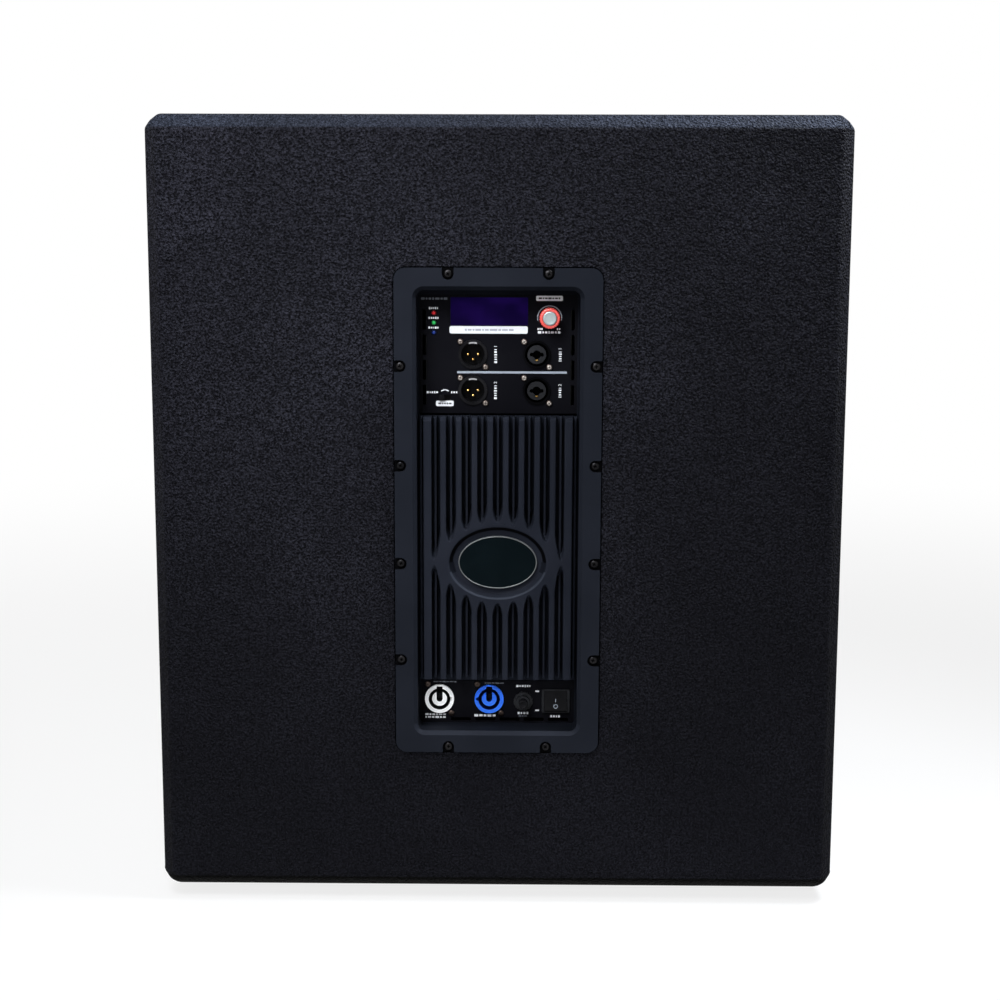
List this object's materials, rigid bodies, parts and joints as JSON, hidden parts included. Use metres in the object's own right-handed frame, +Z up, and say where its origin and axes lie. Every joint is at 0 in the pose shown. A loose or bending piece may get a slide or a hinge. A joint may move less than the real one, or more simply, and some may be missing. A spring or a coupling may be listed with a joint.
{
  "type": "powered subwoofer",
  "caption": "Powered stage subwoofer: a black coated plywood box with a recessed amplifier plate, audio and mains sockets, heatsink, grille, side handles and pole socket.",
  "frame": {"origin": "on the surface that the feet stand on, under the middle of the object's box", "axes": "-Y is the rear with the amplifier plate, +Y the front with the grille, +X the right as seen from the rear, +Z up"},
  "size_m": [0.54, 0.602, 0.622],
  "materials": {
    "coated_ply": "black textured coat",
    "bare_ply": "bare plywood",
    "black_plastic": "moulded",
    "rubber": "moulded",
    "zinc_steel": "zinc plated",
    "black_steel": "black powder coat",
    "foam": "open-cell foam",
    "cast_black": "black anodised casting",
    "basket_paint": "black paint",
    "cone_paper": "pressed paper",
    "copper_coil": "enamelled wire",
    "spider_cloth": "impregnated cloth",
    "ferrite": "sintered ferrite",
    "badge_face": "gloss",
    "panel_black": "satin black",
    "display": "clear window over an indigo display",
    "board": "circuit board",
    "red_lens": "lit lens",
    "green_lens": "lit lens",
    "blue_lens": "lit lens",
    "red_knob": "moulded",
    "silver_cap": "satin",
    "socket_metal": "black chrome",
    "gold": "gold plated",
    "bronze_screw": "passivated steel",
    "white_plastic": "moulded",
    "blue_plastic": "moulded",
    "red_terminal": "moulded"
  },
  "bodies": {
    "cabinet": {"top_panel": "coated_ply", "bottom_panel": "coated_ply", "left_panel": "coated_ply", "right_panel": "coated_ply", "rear_panel": "coated_ply", "front_baffle": "coated_ply", "port_shelf": "coated_ply", "cross_brace": "bare_ply", "left_handle": "black_plastic", "right_handle": "black_plastic", "pole_socket": "black_plastic", "rubber_feet": "rubber", "cabinet_screws": "zinc_steel", "grille": "black_steel", "grille_foam": "foam", "basket": "basket_paint", "basket_gasket": "rubber", "surround": "rubber", "spider": "spider_cloth", "top_plate": "zinc_steel", "magnet": "ferrite", "back_plate": "zinc_steel", "driver_terminals": "red_terminal", "driver_bolts": "black_steel", "amp_frame": "cast_black", "amp_gasket": "rubber", "frame_screws": "black_steel", "heatsink": "cast_black", "badge": "badge_face", "control_plate": "panel_black", "mains_plate": "panel_black", "display_window": "display", "lcd_module": "board", "led_red": "red_lens", "led_green": "green_lens", "led_blue": "blue_lens", "encoder_body": "zinc_steel", "audio_outputs": "socket_metal", "output_pins": "gold", "audio_inputs": "black_plastic", "socket_screws": "bronze_screw", "ground_switch": "zinc_steel", "mains_outlet": "white_plastic", "mains_inlet": "blue_plastic", "mains_contacts": "zinc_steel", "breaker": "socket_metal", "rocker_bezel": "black_plastic", "amp_cover": "zinc_steel", "power_board": "board", "signal_board": "board"},
    "cone_assembly": {"cone": "cone_paper", "dust_cap": "cone_paper", "voice_coil": "copper_coil"},
    "encoder_wheel": {"encoder_rotor": "zinc_steel"},
    "knob_group": {"encoder_shaft": "silver_cap", "encoder_knob": "red_knob", "knob_cap": "silver_cap"},
    "power_rocker": {"rocker": "black_plastic"},
    "ground_lever": {"ground_slider": "black_plastic"},
    "reset_plunger": {"reset_button": "black_plastic"}
  },
  "joints": [
    {"name": "cone_travel", "type": "slide", "parent": "cabinet", "child": "cone_assembly", "axis": [0, 1, 0], "range_m": [-0.006, 0.006], "stiffness_N_per_m": 6000, "deforming": ["surround", "spider"]},
    {"name": "encoder_turn", "type": "hinge", "parent": "cabinet", "child": "encoder_wheel", "pos_m": [0.0398, -0.274, 0.4678], "axis": [0, -1, 0], "continuous": true},
    {"name": "knob_push", "type": "slide", "parent": "encoder_wheel", "child": "knob_group", "axis": [0, 1, 0], "range_m": [0, 0.0005], "stiffness_N_per_m": 2500, "springref_m": -0.0006},
    {"name": "rocker_tilt", "type": "hinge", "parent": "cabinet", "child": "power_rocker", "pos_m": [0.0469, -0.2734, 0.1608], "axis": [1, 0, 0], "range_deg": [0, 20]},
    {"name": "ground_slide", "type": "slide", "parent": "cabinet", "child": "ground_lever", "axis": [1, 0, 0], "range_m": [0, 0.005]},
    {"name": "reset_push", "type": "slide", "parent": "cabinet", "child": "reset_plunger", "axis": [0, 1, 0], "range_m": [0, 0.002], "stiffness_N_per_m": 1500, "springref_m": -0.0015}
  ]
}
